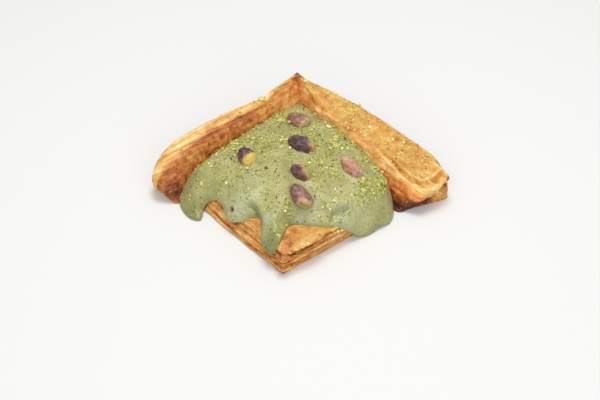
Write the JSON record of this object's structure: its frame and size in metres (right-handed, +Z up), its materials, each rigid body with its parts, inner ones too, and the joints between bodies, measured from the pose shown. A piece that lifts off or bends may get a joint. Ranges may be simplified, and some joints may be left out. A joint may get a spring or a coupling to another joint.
{
  "type": "danish pastry",
  "caption": "Square danish pastry of laminated dough, folded up into a raised V-shaped wall, filled with poured nut cream that drips over its front and topped with whole kernels.",
  "frame": {"origin": "middle of the bounding box, on the surface that the pastry stands on", "axes": "+Z up, +Y from the open front corner towards the raised back corner, +X to the right seen from the front"},
  "size_m": [0.1541, 0.1356, 0.0369],
  "materials": {
    "baked_crust": "baked laminated dough, golden with browned edges",
    "nut_cream": "soft satin sage green cream",
    "kernel_skin": "dry papery purple-brown skin, green where rubbed off"
  },
  "bodies": {
    "root": {"pastry": "baked_crust", "cream": "nut_cream", "nut_kernel_1": "kernel_skin", "nut_kernel_2": "kernel_skin", "nut_kernel_3": "kernel_skin", "nut_kernel_4": "kernel_skin", "nut_kernel_5": "kernel_skin", "nut_kernel_6": "kernel_skin"}
  },
  "joints": []
}
